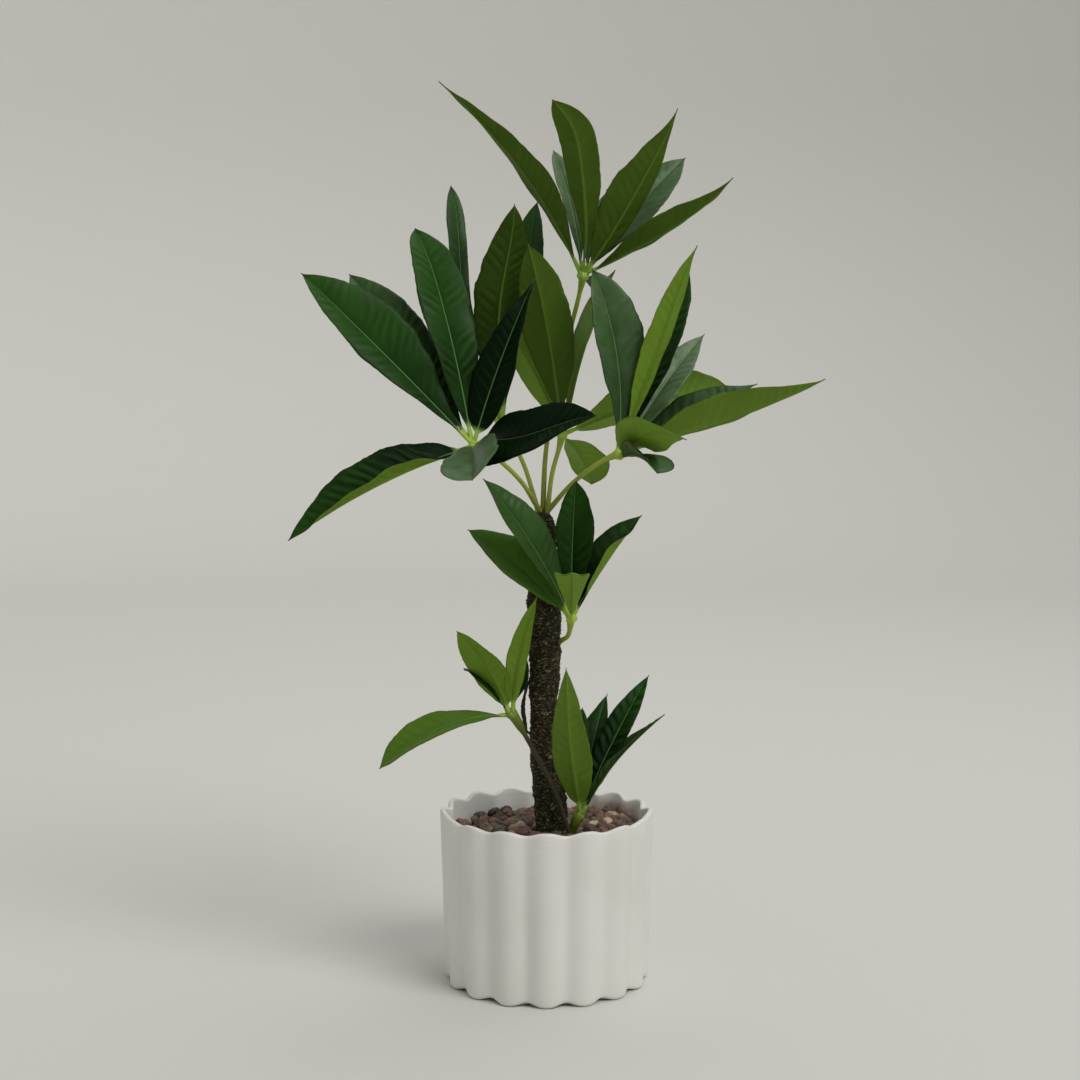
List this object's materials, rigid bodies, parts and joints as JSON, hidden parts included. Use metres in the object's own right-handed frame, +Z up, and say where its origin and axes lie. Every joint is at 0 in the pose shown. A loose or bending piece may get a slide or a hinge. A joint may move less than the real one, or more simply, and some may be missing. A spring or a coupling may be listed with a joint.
{
  "type": "potted money tree",
  "caption": "Small potted money tree: whorls of long leaves on green stalks, from a bark-covered trunk set in pebbles in a fluted white pot.",
  "frame": {"origin": "middle of the pot's flat underside", "axes": "+Z up along the pot's axis, -Y towards the front"},
  "size_m": [0.2885, 0.1676, 0.4978],
  "materials": {
    "ceramic": "matte warm white ceramic with faint throwing lines",
    "soil": "dark crumbly soil",
    "pebbles": "brown and tan pebbles, matte",
    "bark": "rough fibrous olive-brown bark",
    "stalk": "smooth olive-green stalk, brighter at the hub",
    "leaf": "dark green upper face with pale midrib, yellow-green underside, soft sheen"
  },
  "bodies": {
    "root": {"pot": "ceramic", "soil": "soil", "pebble_layer": "pebbles", "trunk": "bark", "tendril": "bark", "crown_stalk": "stalk", "crown_leaf_1": "leaf", "crown_leaf_2": "leaf", "crown_leaf_3": "leaf", "crown_leaf_4": "leaf", "crown_leaf_5": "leaf", "crown_leaf_6": "leaf", "crown_leaf_7": "leaf", "crown_leaf_8": "leaf", "left_stalk": "stalk", "left_leaf_1": "leaf", "left_leaf_2": "leaf", "left_leaf_3": "leaf", "left_leaf_4": "leaf", "left_leaf_5": "leaf", "left_leaf_6": "leaf", "left_leaf_7": "leaf", "rear_left_stalk": "stalk", "rear_left_leaf_1": "leaf", "rear_left_leaf_2": "leaf", "rear_left_leaf_3": "leaf", "rear_left_leaf_4": "leaf", "rear_stalk": "stalk", "rear_leaf_1": "leaf", "rear_leaf_2": "leaf", "rear_leaf_3": "leaf", "rear_leaf_4": "leaf", "rear_leaf_5": "leaf", "right_stalk": "stalk", "right_leaf_1": "leaf", "right_leaf_2": "leaf", "right_leaf_3": "leaf", "right_leaf_4": "leaf", "right_leaf_5": "leaf", "right_leaf_6": "leaf", "right_leaf_7": "leaf", "right_leaf_8": "leaf", "middle_stalk": "stalk", "middle_leaf_1": "leaf", "middle_leaf_2": "leaf", "middle_leaf_3": "leaf", "middle_leaf_4": "leaf", "middle_leaf_5": "leaf", "low_left_stalk": "stalk", "low_left_leaf_1": "leaf", "low_left_leaf_2": "leaf", "low_left_leaf_3": "leaf", "low_left_leaf_4": "leaf", "low_left_leaf_5": "leaf", "low_right_stalk": "stalk", "low_right_leaf_1": "leaf", "low_right_leaf_2": "leaf", "low_right_leaf_3": "leaf", "low_right_leaf_4": "leaf", "low_right_leaf_5": "leaf"}
  },
  "joints": []
}
